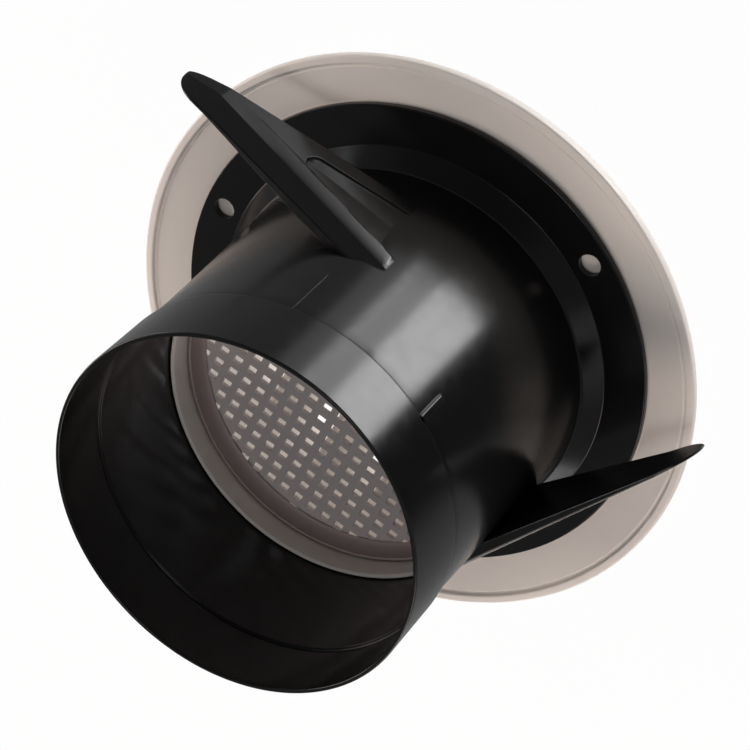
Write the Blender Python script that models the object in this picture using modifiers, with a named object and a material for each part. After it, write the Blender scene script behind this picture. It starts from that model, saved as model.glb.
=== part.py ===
"""Round duct vent: a black push-in throat with three spring wings behind a white louvred face.

The duct axis is +Z, from the face up to the spigot's mouth. Z = 0 is the plane of the rim's
back, which seats on the panel, and X runs along the louvre blades.
"""

import itertools
import math

import bmesh
import bpy
from mathutils import Matrix, Vector

MM = 0.001

# Fits and facets
FIT_GAP = 0.3 * MM
TURN_STEPS = 60
HOLE_SIDES = 24
SIDES_OF_THREE = 3

# Throat: spigot, taper, bevelled foot and flange
SPIGOT_DIAMETER = 98.0 * MM
SPIGOT_WALL = 1.1 * MM
MOUTH_HEIGHT = 92.0 * MM
COLLAR_LENGTH = 20.5 * MM
COLLAR_STEP = 0.65 * MM
INNER_STEP_BELOW_MOUTH = 17.6 * MM
MOUTH_CHAMFER = 0.35 * MM
THROAT_WALL = 1.2 * MM
TAPER_SPREAD = 2.65 * MM
TAPER_POWER = 1.6
TAPER_POINTS = 7
BEVEL_WIDTH = 4.8 * MM
BEVEL_RISE = 4.4 * MM
FLANGE_RECESS = 1.5 * MM
FLANGE_THICKNESS = 2.0 * MM
FLANGE_WIDTH = 11.1 * MM
SCREW_HOLE_DIAMETER = 6.0 * MM
SCREW_HOLE_INSET = 5.8 * MM
FIRST_HOLE_ANGLE = 90.0
RIB_LENGTH = 10.5 * MM
RIB_WIDTH = 1.8 * MM
RIB_ROOT = 2.0 * MM

# Spring wings, each lying along a tangent of the throat
WING_START = 7.0 * MM
WING_REACH = 77.0 * MM
WING_SINK = 0.1 * MM
WING_DEPTH = 8.0 * MM
WING_TIP_DEPTH = 4.6 * MM
WING_SOLID_TIP = 7.0 * MM
WING_PLATE = 2.6 * MM
WING_SKIRT_WALL = 2.0 * MM
WING_ROOT_LEVEL = 11.9 * MM
WING_ROOT_WIDTH = 32.2 * MM
WING_TIP_LEVEL = 18.2 * MM
WING_TIP_WIDTH = 2.2 * MM
WING_HINGE_CLEARANCE = 2.6 * MM
WING_FOLD_ANGLE = 30.0
WING_NOTCH_MARGIN = 3.0
WING_RECESS_DEPTH = 0.8 * MM
WING_RECESS_MARGIN = 4.7 * MM
WING_RECESS_BEYOND_HINGE = 9.0 * MM
ARC_POINTS = 7

# Face: rim, plate and the sleeve that plugs into the throat
RIM_MARGIN = 13.7 * MM
RIM_LIP_WIDTH = 2.5 * MM
RIM_LIP_ROUND = 1.2 * MM
RIM_GROOVE_WIDTH = 0.7 * MM
RIM_GROOVE_DEPTH = 0.6 * MM
PLATE_EDGE_DROP = 0.9 * MM
FACE_DEPTH = 8.0 * MM
FACE_SHOULDER_WIDTH = 11.0 * MM
SHOULDER_POINTS = 6
BORE_EDGE_ROUND = 1.2 * MM
SLEEVE_HEIGHT = 41.0 * MM
SLEEVE_POINTS = 5
SLEEVE_WALL = 1.2 * MM

# Insect screen, its ledge and its ring
SCREEN_LEDGE_HEIGHT = 28.0 * MM
SCREEN_LEDGE_WIDTH = 1.3 * MM
SCREEN_LEDGE_THICKNESS = 1.6 * MM
SCREEN_THICKNESS = 1.4 * MM
SCREEN_PITCH = 4.45 * MM
SCREEN_HOLE = 2.5 * MM
SCREEN_RING_HEIGHT = 4.1 * MM
SCREEN_RING_WALL = 1.1 * MM

# Louvre blades
LOUVRE_COUNT = 5
LOUVRE_EDGE_MARGIN = 10.5 * MM
LOUVRE_DEPTH = 12.0 * MM
LOUVRE_ANGLE = 45.0
LOUVRE_THICKNESS = 1.8 * MM
LOUVRE_FRONT_SETBACK = 0.5 * MM

# Levels and radii that follow from the sizes above
SPIGOT_RADIUS = SPIGOT_DIAMETER / 2
STEP_LEVEL = MOUTH_HEIGHT - COLLAR_LENGTH
TAPER_TOP_RADIUS = SPIGOT_RADIUS - COLLAR_STEP
FLANGE_BACK = -FLANGE_RECESS
FLANGE_FRONT = FLANGE_BACK - FLANGE_THICKNESS
BEVEL_TOP = FLANGE_BACK + BEVEL_RISE
TAPER_FOOT_RADIUS = TAPER_TOP_RADIUS + TAPER_SPREAD
BEVEL_RADIUS = TAPER_FOOT_RADIUS + BEVEL_WIDTH
FLANGE_RADIUS = BEVEL_RADIUS + FLANGE_WIDTH
SCREW_CIRCLE_RADIUS = FLANGE_RADIUS - SCREW_HOLE_INSET
RIM_RADIUS = FLANGE_RADIUS + RIM_MARGIN
PLATE_BACK = FLANGE_FRONT - FIT_GAP
FACE_FRONT = -FACE_DEPTH
BORE_RADIUS = TAPER_FOOT_RADIUS - THROAT_WALL - FIT_GAP - SLEEVE_WALL
SCREEN_FRONT = SCREEN_LEDGE_HEIGHT + FIT_GAP
SCREEN_BACK = SCREEN_FRONT + SCREEN_THICKNESS
RING_FRONT = SCREEN_BACK + FIT_GAP
RING_BACK = RING_FRONT + SCREEN_RING_HEIGHT


def taper_radius(level):
    """Outer radius of the throat at a level between its foot and the collar's step."""
    run = (STEP_LEVEL - level) / (STEP_LEVEL - BEVEL_TOP)
    run = min(max(run, 0.0), 1.0)
    return TAPER_TOP_RADIUS + TAPER_SPREAD * run ** TAPER_POWER


def sleeve_radius(level):
    """Outer radius of the sleeve, a sliding gap inside the throat."""
    return taper_radius(level) - THROAT_WALL - FIT_GAP


def spread(start, stop, count):
    """Evenly spaced values from start to stop, both included."""
    return [start + (stop - start) * i / (count - 1) for i in range(count)]


WING_MIDDLE_LEVEL = WING_ROOT_LEVEL + WING_ROOT_WIDTH / 2
WING_PLANE = taper_radius(WING_ROOT_LEVEL + WING_ROOT_WIDTH) - WING_SINK
WING_LEAVES_THROAT = math.sqrt(taper_radius(WING_MIDDLE_LEVEL) ** 2 - (WING_PLANE - WING_DEPTH) ** 2)
HINGE_REACH = WING_LEAVES_THROAT + WING_HINGE_CLEARANCE
LEAF_START = HINGE_REACH + FIT_GAP
HINGE_POINT = Vector((WING_PLANE, HINGE_REACH + FIT_GAP / 2, WING_MIDDLE_LEVEL))


def wing_far_edge(reach):
    """Level of the wing's edge on the panel's side, at a distance along the wing."""
    return WING_ROOT_LEVEL + (WING_TIP_LEVEL - WING_ROOT_LEVEL) * reach / WING_REACH


def wing_near_edge(reach):
    """Level of the wing's edge on the spigot's side, at a distance along the wing."""
    width = WING_ROOT_WIDTH + (WING_TIP_WIDTH - WING_ROOT_WIDTH) * reach / WING_REACH
    return wing_far_edge(reach) + width


def clear_scene():
    """Remove everything that the scene holds."""
    for old in list(bpy.data.objects):
        bpy.data.objects.remove(old, do_unlink=True)


def new_collection(name):
    """Make a collection and hang it in the scene."""
    collection = bpy.data.collections.new(name)
    bpy.context.scene.collection.children.link(collection)
    return collection


def plastic(name, colour, roughness):
    """A moulded plastic's material."""
    material = bpy.data.materials.new(name)
    material.use_nodes = True
    shader = material.node_tree.nodes["Principled BSDF"]
    shader.inputs["Base Color"].default_value = (*colour, 1.0)
    shader.inputs["Roughness"].default_value = roughness
    shader.inputs["Metallic"].default_value = 0.0
    material.diffuse_color = (*colour, 1.0)
    return material


def put_object(name, mesh, collection):
    """Link a mesh into a collection as a new object."""
    made = bpy.data.objects.new(name, mesh)
    collection.objects.link(made)
    return made


def mesh_from(name, work):
    """Turn a finished bmesh into a mesh."""
    mesh = bpy.data.meshes.new(name)
    work.to_mesh(mesh)
    work.free()
    return mesh


def block_mesh(name, place, size):
    """The mesh of a rectangular block, centred in a frame."""
    work = bmesh.new()
    bmesh.ops.create_cube(work, size=1.0, matrix=place @ Matrix.Diagonal((*size, 1.0)))
    return mesh_from(name, work)


def as_tool(made):
    """Mark an object as a cutter or a filler that isn't a piece of the vent."""
    made.hide_render = True
    made.display_type = "WIRE"
    return made


def finish_piece(made, material, sharp_angle=35.0):
    """Give a piece its material and smooth shading with crisp corners."""
    made.data.materials.clear()
    made.data.materials.append(material)
    made.data.shade_smooth()
    made.data.set_sharp_from_angle(angle=math.radians(sharp_angle))
    return made


def turned(name, profile, collection, closed=True):
    """A turned solid: (radius, level) points, outer side top to bottom, carried round Z."""
    mesh = bpy.data.meshes.new(name)
    points = [(radius, 0.0, level) for radius, level in profile]
    edges = [(i, i + 1) for i in range(len(points) - 1)]
    if closed:
        edges.append((len(points) - 1, 0))
    mesh.from_pydata(points, edges, [])
    made = put_object(name, mesh, collection)
    screw = made.modifiers.new("turn", "SCREW")
    screw.axis = "Z"
    screw.steps = TURN_STEPS
    screw.render_steps = TURN_STEPS
    screw.use_merge_vertices = True
    screw.merge_threshold = 0.00001
    screw.use_smooth_shade = True
    return made


def baked(name, source, collection):
    """A plain mesh object from an object's evaluated shape, in place, with the source removed."""
    bpy.context.view_layer.update()
    graph = bpy.context.evaluated_depsgraph_get()
    mesh = bpy.data.meshes.new_from_object(source.evaluated_get(graph))
    mesh.transform(source.matrix_world)
    work = bmesh.new()
    work.from_mesh(mesh)
    bmesh.ops.remove_doubles(work, verts=work.verts, dist=0.000001)
    bmesh.ops.recalc_face_normals(work, faces=work.faces)
    work.to_mesh(mesh)
    work.free()
    bpy.data.objects.remove(source, do_unlink=True)
    return put_object(name, mesh, collection)


def plate(name, outline, thickness, frame, collection):
    """A flat outline with a thickness, its middle plane at the frame's origin."""
    curve = bpy.data.curves.new(name + "_outline", "CURVE")
    curve.dimensions = "2D"
    curve.fill_mode = "BOTH"
    curve.extrude = thickness / 2
    spline = curve.splines.new("POLY")
    spline.points.add(len(outline) - 1)
    for point, (across, up) in zip(spline.points, outline):
        point.co = (across, up, 0.0, 1.0)
    spline.use_cyclic_u = True
    drawn = put_object(name + "_outline", curve, collection)
    drawn.matrix_world = frame
    return as_tool(baked(name, drawn, collection))


def boolean(target, operation, other):
    """Cut a piece by another, or join it to another."""
    modifier = target.modifiers.new(operation.lower() + "_" + other.name, "BOOLEAN")
    modifier.operation = operation
    modifier.solver = "EXACT"
    modifier.object = other


def turned_copies(mesh, name, collection, first_angle=0.0):
    """Three copies of a mesh, a third of a turn apart round the duct axis."""
    copies = []
    for i in range(SIDES_OF_THREE):
        made = put_object(name + "_" + str(i + 1), mesh, collection)
        made.rotation_euler.z = math.radians(first_angle + 360.0 * i / SIDES_OF_THREE)
        copies.append(as_tool(made))
    return copies


def wing_frame(plane):
    """Frame with its X along the wing, its Y up the duct axis and its Z out of the wing's face."""
    return Matrix.Translation((plane, 0.0, 0.0)) @ Matrix(((0, 0, 1), (1, 0, 0), (0, 1, 0))).to_4x4()


def wing_side(name, tools):
    """The wing's outline as seen from outside, with a thickness to spare."""
    radius = WING_TIP_WIDTH / 2
    middle = WING_TIP_LEVEL + radius
    outline = [(0.0, wing_far_edge(0.0))]
    for angle in spread(-math.pi / 2, math.pi / 2, ARC_POINTS):
        outline.append((WING_REACH - radius + radius * math.cos(angle), middle + radius * math.sin(angle)))
    outline.append((0.0, wing_near_edge(0.0)))
    return plate(name, outline, 2 * WING_DEPTH, wing_frame(WING_PLANE - WING_DEPTH / 2), tools)


def wing_plan(name, outline, tools):
    """An outline of the wing as seen along the duct, with a height to spare."""
    middle = Matrix.Translation((0.0, 0.0, WING_MIDDLE_LEVEL))
    return plate(name, outline, 2 * WING_ROOT_WIDTH, middle, tools)


def root_plan(tools):
    """The fixed root's outline along the duct: a block that ends square at the hinge."""
    inner = WING_PLANE - WING_DEPTH
    outline = [(WING_PLANE, WING_START), (WING_PLANE, HINGE_REACH), (inner, HINGE_REACH), (inner, WING_START)]
    return wing_plan("wing_root_plan", outline, tools)


def leaf_plan(tools):
    """The leaf's outline along the duct: room to fold at the hinge, and a round tip."""
    lean = math.tan(math.radians(WING_FOLD_ANGLE + WING_NOTCH_MARGIN))
    radius = WING_TIP_DEPTH / 2
    outline = [(WING_PLANE - WING_DEPTH, LEAF_START + WING_DEPTH * lean), (WING_PLANE, LEAF_START)]
    for angle in spread(0.0, math.pi, ARC_POINTS):
        outline.append((
            WING_PLANE - radius + radius * math.cos(angle),
            WING_REACH - radius + radius * math.sin(angle)))
    return wing_plan("wing_leaf_plan", outline, tools)


def wing_pocket(tools):
    """The space behind the wing's plate, open towards the throat and the panel."""
    end = WING_REACH - WING_SOLID_TIP
    outline = [
        (0.0, wing_far_edge(0.0) - WING_ROOT_WIDTH),
        (end, wing_far_edge(end) - WING_ROOT_WIDTH),
        (end, wing_near_edge(end) - WING_SKIRT_WALL),
        (0.0, wing_near_edge(0.0) - WING_SKIRT_WALL),
    ]
    depth = 2 * (WING_DEPTH - WING_PLATE) + WING_PLATE
    middle = WING_PLANE - WING_PLATE - depth / 2
    return plate("wing_pocket", outline, depth, wing_frame(middle), tools)


def wing_recess(tools):
    """The shallow sunk panel in the wing's outer face, with a round end past the hinge."""
    low_root = wing_far_edge(0.0) + WING_RECESS_MARGIN
    high_root = wing_near_edge(0.0) - WING_RECESS_MARGIN
    end = HINGE_REACH + WING_RECESS_BEYOND_HINGE
    low_end = wing_far_edge(end) + WING_RECESS_MARGIN
    high_end = wing_near_edge(end) - WING_RECESS_MARGIN
    radius = (high_end - low_end) / 2
    middle = (high_end + low_end) / 2
    outline = [(0.0, low_root)]
    for angle in spread(-math.pi / 2, math.pi / 2, ARC_POINTS):
        outline.append((end - radius + radius * math.cos(angle), middle + radius * math.sin(angle)))
    outline.append((0.0, high_root))
    return plate("wing_recess", outline, 2 * WING_RECESS_DEPTH, wing_frame(WING_PLANE), tools)


def throat_core(tools):
    """A plug that fills the throat to the middle of its wall."""
    half = THROAT_WALL / 2
    levels = spread(STEP_LEVEL, BEVEL_TOP, TAPER_POINTS)
    profile = [(0.0, STEP_LEVEL)]
    profile += [(taper_radius(level) - half, level) for level in levels]
    profile.append((0.0, BEVEL_TOP))
    return as_tool(turned("throat_core", profile, tools, closed=False))


def make_wings(material, parts, tools):
    """Build the wing's fixed root and its three free leaves.

    Returns the root's mesh, which the throat takes three times.
    """
    pocket = wing_pocket(tools)
    recess = wing_recess(tools)
    root = wing_side("wing_root_side", tools)
    boolean(root, "INTERSECT", root_plan(tools))
    for cutter in (pocket, recess, throat_core(tools)):
        boolean(root, "DIFFERENCE", cutter)
    leaf = wing_side("wing_leaf_side", tools)
    boolean(leaf, "INTERSECT", leaf_plan(tools))
    for cutter in (pocket, recess):
        boolean(leaf, "DIFFERENCE", cutter)
    root_mesh = as_tool(baked("wing_root", root, tools)).data
    leaf_mesh = as_tool(baked("wing_leaf", leaf, tools)).data
    leaf_mesh.transform(Matrix.Translation(-HINGE_POINT))
    for i in range(SIDES_OF_THREE):
        turn = Matrix.Rotation(math.radians(360.0 * i / SIDES_OF_THREE), 4, "Z")
        wing = put_object("wing_" + str(i + 1), leaf_mesh, parts)
        wing.matrix_world = turn @ Matrix.Translation(HINGE_POINT)
        finish_piece(wing, material)
    return root_mesh


def throat_profile():
    """The throat's wall, outer side from mouth to flange and back up the inside."""
    mouth_bore = SPIGOT_RADIUS - SPIGOT_WALL
    levels = spread(STEP_LEVEL, BEVEL_TOP, TAPER_POINTS)
    inner_bevel = BEVEL_RADIUS - THROAT_WALL
    inner_step = MOUTH_HEIGHT - INNER_STEP_BELOW_MOUTH
    outside = [
        (SPIGOT_RADIUS - MOUTH_CHAMFER, MOUTH_HEIGHT),
        (SPIGOT_RADIUS, MOUTH_HEIGHT - MOUTH_CHAMFER),
        (SPIGOT_RADIUS, STEP_LEVEL),
    ]
    outside += [(taper_radius(level), level) for level in levels]
    outside += [
        (BEVEL_RADIUS, FLANGE_BACK),
        (FLANGE_RADIUS, FLANGE_BACK),
        (FLANGE_RADIUS, FLANGE_FRONT),
        (inner_bevel, FLANGE_FRONT),
        (inner_bevel, FLANGE_BACK - THROAT_WALL / 2),
    ]
    inside = [(taper_radius(level) - THROAT_WALL, level) for level in reversed(levels)]
    inside[-1] = (TAPER_TOP_RADIUS - THROAT_WALL, inner_step)
    inside += [(mouth_bore, inner_step), (mouth_bore, MOUTH_HEIGHT)]
    return outside + inside


def screw_drill_mesh():
    """The cutter for one screw hole, on the +X side of the flange."""
    work = bmesh.new()
    place = Matrix.Translation((SCREW_CIRCLE_RADIUS, 0.0, (FLANGE_BACK + FLANGE_FRONT) / 2))
    radius = SCREW_HOLE_DIAMETER / 2
    bmesh.ops.create_cone(
        work, cap_ends=True, segments=HOLE_SIDES, radius1=radius, radius2=radius,
        depth=3 * FLANGE_THICKNESS, matrix=place)
    return mesh_from("screw_drill", work)


def stop_rib_mesh():
    """One stop rib below the collar, flush with the spigot and let into the wall."""
    base = TAPER_TOP_RADIUS - THROAT_WALL / 2
    height = SPIGOT_RADIUS - base
    length = RIB_LENGTH + RIB_ROOT
    place = Matrix.Translation((base + height / 2, 0.0, STEP_LEVEL + RIB_ROOT - length / 2))
    return block_mesh("stop_rib", place, (height, RIB_WIDTH, length))


def make_throat(root_mesh, material, parts, tools):
    """Build the black duct adapter with its wing roots, stop ribs and screw holes."""
    throat = turned("throat", throat_profile(), parts)
    finish_piece(throat, material)
    for root in turned_copies(root_mesh, "wing_root", tools):
        boolean(throat, "UNION", root)
    for rib in turned_copies(stop_rib_mesh(), "stop_rib", tools, FIRST_HOLE_ANGLE):
        boolean(throat, "UNION", rib)
    for drill in turned_copies(screw_drill_mesh(), "screw_drill", tools, FIRST_HOLE_ANGLE):
        boolean(throat, "DIFFERENCE", drill)
    return throat


def face_profile():
    """The face's section: sleeve, plate back, rolled rim, shoulder, front and bore."""
    lip_inner = RIM_RADIUS - RIM_LIP_WIDTH
    groove_inner = lip_inner - RIM_GROOVE_WIDTH
    groove_floor = -PLATE_EDGE_DROP - RIM_GROOVE_DEPTH
    foot = BEVEL_TOP
    levels = spread(SLEEVE_HEIGHT, foot, SLEEVE_POINTS)
    section = [(sleeve_radius(level), level) for level in levels]
    section += [
        (sleeve_radius(foot), PLATE_BACK),
        (FLANGE_RADIUS + FIT_GAP, PLATE_BACK),
        (groove_inner, -PLATE_EDGE_DROP),
        (groove_inner, groove_floor),
        (lip_inner, groove_floor),
        (lip_inner, 0.0),
        (RIM_RADIUS - RIM_LIP_ROUND, 0.0),
        (RIM_RADIUS - RIM_LIP_ROUND * (1 - math.sqrt(0.5)), -RIM_LIP_ROUND * (1 - math.sqrt(0.5))),
    ]
    drop = FACE_DEPTH - RIM_LIP_ROUND
    for angle in spread(0.0, math.pi / 2, SHOULDER_POINTS):
        section.append((
            RIM_RADIUS - FACE_SHOULDER_WIDTH * (1 - math.cos(angle)),
            -RIM_LIP_ROUND - drop * math.sin(angle)))
    section += [
        (BORE_RADIUS + BORE_EDGE_ROUND, FACE_FRONT),
        (BORE_RADIUS, FACE_FRONT + BORE_EDGE_ROUND),
        (BORE_RADIUS, foot),
    ]
    ledge_front = SCREEN_LEDGE_HEIGHT - SCREEN_LEDGE_THICKNESS
    bore = [(sleeve_radius(level) - SLEEVE_WALL, level) for level in reversed(levels)]
    below = [point for point in bore if foot < point[1] < ledge_front - SCREEN_LEDGE_WIDTH]
    above = [point for point in bore if point[1] > SCREEN_LEDGE_HEIGHT]
    seat = sleeve_radius(SCREEN_LEDGE_HEIGHT) - SLEEVE_WALL
    ramp = ledge_front - SCREEN_LEDGE_WIDTH
    section += below
    section += [
        (sleeve_radius(ramp) - SLEEVE_WALL, ramp),
        (seat - SCREEN_LEDGE_WIDTH, ledge_front),
        (seat - SCREEN_LEDGE_WIDTH, SCREEN_LEDGE_HEIGHT),
        (seat, SCREEN_LEDGE_HEIGHT),
    ]
    return section + above


def make_face(material, parts):
    """Build the white face with its rolled rim and its sleeve."""
    return finish_piece(turned("face_plate", face_profile(), parts), material)


def make_screen_ring(material, parts):
    """Build the ring that holds the screen on its ledge."""
    outer = sleeve_radius(RING_BACK) - SLEEVE_WALL - FIT_GAP
    inner = outer - SCREEN_RING_WALL
    profile = [(outer, RING_BACK), (outer, RING_FRONT), (inner, RING_FRONT), (inner, RING_BACK)]
    return finish_piece(turned("screen_ring", profile, parts), material)


def make_screen(material, parts, tools):
    """Build the insect screen: a disc with square holes inside the ring's bore."""
    radius = sleeve_radius(SCREEN_BACK) - SLEEVE_WALL - FIT_GAP
    open_radius = sleeve_radius(RING_BACK) - SLEEVE_WALL - FIT_GAP - SCREEN_RING_WALL
    middle = (SCREEN_FRONT + SCREEN_BACK) / 2
    disc = [(0.0, SCREEN_BACK), (radius, SCREEN_BACK), (radius, SCREEN_FRONT), (0.0, SCREEN_FRONT)]
    screen = turned("fly_screen", disc, parts, closed=False)
    finish_piece(screen, material)
    pegs = bmesh.new()
    size = Matrix.Diagonal((SCREEN_HOLE, SCREEN_HOLE, 3 * SCREEN_THICKNESS, 1.0))
    count = int(open_radius / SCREEN_PITCH)
    steps = range(-count, count + 1)
    for across, along in itertools.product(steps, steps):
        corner = Vector((abs(across), abs(along))) * SCREEN_PITCH + Vector((SCREEN_HOLE, SCREEN_HOLE)) / 2
        if corner.length < open_radius:
            place = Matrix.Translation((across * SCREEN_PITCH, along * SCREEN_PITCH, middle))
            bmesh.ops.create_cube(pegs, size=1.0, matrix=place @ size)
    mesh = mesh_from("screen_pegs", pegs)
    boolean(screen, "DIFFERENCE", as_tool(put_object("screen_pegs", mesh, tools)))
    return screen


def make_louvres(material, parts, tools):
    """Build the slanted blades across the bore, their ends following its wall."""
    reach = BORE_RADIUS - FIT_GAP
    slant = math.radians(LOUVRE_ANGLE)
    front = FACE_FRONT + LOUVRE_FRONT_SETBACK
    middle = front + LOUVRE_DEPTH / 2
    plug = [(0.0, middle + LOUVRE_DEPTH), (reach, middle + LOUVRE_DEPTH)]
    plug += [(reach, middle - LOUVRE_DEPTH), (0.0, middle - LOUVRE_DEPTH)]
    bore_plug = as_tool(turned("louvre_plug", plug, tools, closed=False))
    chord = (LOUVRE_DEPTH - LOUVRE_THICKNESS * math.cos(slant)) / math.sin(slant)
    outermost = reach - LOUVRE_EDGE_MARGIN
    for i, offset in enumerate(spread(-outermost, outermost, LOUVRE_COUNT)):
        name = "louvre_" + str(i + 1)
        place = Matrix.Translation((0.0, offset, middle)) @ Matrix.Rotation(slant, 4, "X")
        mesh = block_mesh(name, place, (2 * SPIGOT_DIAMETER, chord, LOUVRE_THICKNESS))
        blade = put_object(name, mesh, parts)
        boolean(blade, "INTERSECT", bore_plug)
        finish_piece(blade, material)


def main():
    """Build the vent."""
    clear_scene()
    parts = new_collection("round_duct_vent")
    tools = new_collection("cutters")
    black = plastic("black_plastic", (0.012, 0.012, 0.013), 0.28)
    black_wing = plastic("black_wing_plastic", (0.014, 0.014, 0.015), 0.32)
    white = plastic("white_face_plastic", (0.78, 0.75, 0.72), 0.42)
    white_ring = plastic("white_ring_plastic", (0.74, 0.73, 0.71), 0.42)
    screen = plastic("screen_plastic", (0.62, 0.57, 0.56), 0.5)
    blade = plastic("white_blade_plastic", (0.80, 0.78, 0.76), 0.4)
    root_mesh = make_wings(black_wing, parts, tools)
    make_throat(root_mesh, black, parts, tools)
    make_face(white, parts)
    make_screen(screen, parts, tools)
    make_screen_ring(white_ring, parts)
    make_louvres(blade, parts, tools)


main()
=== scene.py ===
"""Round duct vent, seen from the back: moulded surfaces, finishes, studio light and camera."""

import logging
import math
from dataclasses import dataclass
from enum import Enum

import bpy
import numpy as np
from mathutils import Matrix, Vector


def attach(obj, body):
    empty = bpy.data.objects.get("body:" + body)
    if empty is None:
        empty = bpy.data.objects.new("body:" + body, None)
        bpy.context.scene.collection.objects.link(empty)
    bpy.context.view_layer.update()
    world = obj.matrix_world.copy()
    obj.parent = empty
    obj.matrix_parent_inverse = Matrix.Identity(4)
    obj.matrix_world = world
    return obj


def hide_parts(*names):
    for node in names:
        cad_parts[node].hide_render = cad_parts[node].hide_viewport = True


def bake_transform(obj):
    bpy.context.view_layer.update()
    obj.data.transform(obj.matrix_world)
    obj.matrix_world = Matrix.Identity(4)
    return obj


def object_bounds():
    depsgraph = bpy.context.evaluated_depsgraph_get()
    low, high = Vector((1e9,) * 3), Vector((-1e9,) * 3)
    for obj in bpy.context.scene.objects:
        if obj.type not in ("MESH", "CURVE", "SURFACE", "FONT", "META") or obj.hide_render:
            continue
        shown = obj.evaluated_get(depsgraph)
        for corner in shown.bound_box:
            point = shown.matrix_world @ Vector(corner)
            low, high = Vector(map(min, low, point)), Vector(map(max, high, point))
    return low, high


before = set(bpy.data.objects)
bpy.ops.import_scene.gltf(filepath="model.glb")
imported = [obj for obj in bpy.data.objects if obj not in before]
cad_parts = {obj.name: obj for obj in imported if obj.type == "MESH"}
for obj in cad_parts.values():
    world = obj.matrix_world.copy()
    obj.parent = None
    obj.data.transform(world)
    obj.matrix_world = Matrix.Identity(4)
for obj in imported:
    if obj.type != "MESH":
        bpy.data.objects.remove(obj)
CAD_LOW, CAD_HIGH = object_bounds()

LOG = logging.getLogger("duct_vent")
MM = 0.001
BODY = "vent"
SHARP_ANGLE = 42.0
THIRD_TURN = 120.0


class Slot(Enum):
    """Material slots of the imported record."""

    BLACK = "black_plastic"
    WHITE = "white_plastic"
    SCREEN = "screen_plastic"


def smooth_step(low: float, high: float, value: np.ndarray) -> np.ndarray:
    """Smooth rise from 0 at low to 1 at high: 3 t squared less 2 t cubed.

    Args:
        low: Value where the rise starts.
        high: Value where the rise ends; it may be less than low for a fall.
        value: Where the rise is read.

    Returns:
        The rise at each value.
    """
    run = np.clip((value - low) / (high - low), 0.0, 1.0)
    return run * run * (3.0 - 2.0 * run)


def grid_quads(rows: int, columns: int, wrap_rows: bool, wrap_columns: bool) -> np.ndarray:
    """Quads between the neighbouring points of a grid, numbered row by row.

    Args:
        rows: Number of rows.
        columns: Number of points in a row.
        wrap_rows: The last row joins the first.
        wrap_columns: The last point of a row joins its first.

    Returns:
        Four point numbers for each quad.
    """
    row = np.arange(rows if wrap_rows else rows - 1)[:, None]
    column = np.arange(columns if wrap_columns else columns - 1)[None, :]
    next_row = (row + 1) % rows
    next_column = (column + 1) % columns
    corners = [
        row * columns + column,
        row * columns + next_column,
        next_row * columns + next_column,
        next_row * columns + column,
    ]
    return np.stack(corners, axis=-1).reshape(-1, 4)


def rounded_outline(corners: np.ndarray, rounds: np.ndarray, arc_points: int = 7) -> np.ndarray:
    """Closed outlines whose corners are rounded by arcs.

    With unit vectors u and w from a corner to its neighbours and the angle t between them, the
    arc touches both sides at round / tan(t / 2) from the corner, and its centre lies
    round / sin(t / 2) along u + w. The arc's points are the sweep between the two radii. A point
    on each side, half as far again from the corner, keeps the flat beside the arc flat.

    Args:
        corners: Corner points, shape (..., corners, 2).
        rounds: Radius of each corner, shape (..., corners).
        arc_points: Points on each arc.

    Returns:
        Outline points, shape (..., corners * (arc_points + 2), 2).
    """
    before = np.roll(corners, 1, axis=-2) - corners
    after = np.roll(corners, -1, axis=-2) - corners
    length_before = np.linalg.norm(before, axis=-1, keepdims=True)
    length_after = np.linalg.norm(after, axis=-1, keepdims=True)
    u = before / np.maximum(length_before, 1e-9)
    w = after / np.maximum(length_after, 1e-9)
    half = np.arccos(np.clip((u * w).sum(-1, keepdims=True), -1.0, 1.0)) / 2
    room = 0.46 * np.minimum(length_before, length_after)
    cut = np.minimum(rounds[..., None] / np.tan(np.maximum(half, 1e-4)), room)
    middle = u + w
    middle = middle / np.maximum(np.linalg.norm(middle, axis=-1, keepdims=True), 1e-9)
    centre = corners + middle * cut / np.cos(half).clip(1e-6)
    start = corners + u * cut - centre
    end = corners + w * cut - centre
    sweep = (math.pi - 2 * half)[..., None, :]
    share = np.linspace(0.0, 1.0, arc_points)[:, None]
    sine = np.where(sweep > 1e-4, np.sin(sweep), 1.0)
    from_start = np.where(sweep > 1e-4, np.sin((1 - share) * sweep) / sine, 1 - share)
    from_end = np.where(sweep > 1e-4, np.sin(share * sweep) / sine, share)
    arc = centre[..., None, :] + from_start * start[..., None, :] + from_end * end[..., None, :]
    lead = (corners + u * np.minimum(1.5 * cut, 0.5 * length_before))[..., None, :]
    trail = (corners + w * np.minimum(1.5 * cut, 0.5 * length_after))[..., None, :]
    outline = np.concatenate([lead, arc, trail], axis=-2)
    return outline.reshape(*outline.shape[:-3], -1, 2)


def filled_outline(outline: np.ndarray, longest: float) -> np.ndarray:
    """The closed outline without repeated points, with long sides cut into equal steps.

    Args:
        outline: Outline points, shape (points, 2).
        longest: Longest side that stays whole.

    Returns:
        The outline's points.
    """
    step = np.linalg.norm(outline - np.roll(outline, 1, axis=0), axis=1)
    outline = outline[step > 1e-8]
    side = np.roll(outline, -1, axis=0) - outline
    count = np.ceil(np.linalg.norm(side, axis=1) / longest).astype(int).clip(1)
    owner = np.repeat(np.arange(len(outline)), count)
    first = np.repeat(np.cumsum(count) - count, count)
    share = (np.arange(len(owner)) - first) / count[owner]
    return outline[owner] + share[:, None] * side[owner]


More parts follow.
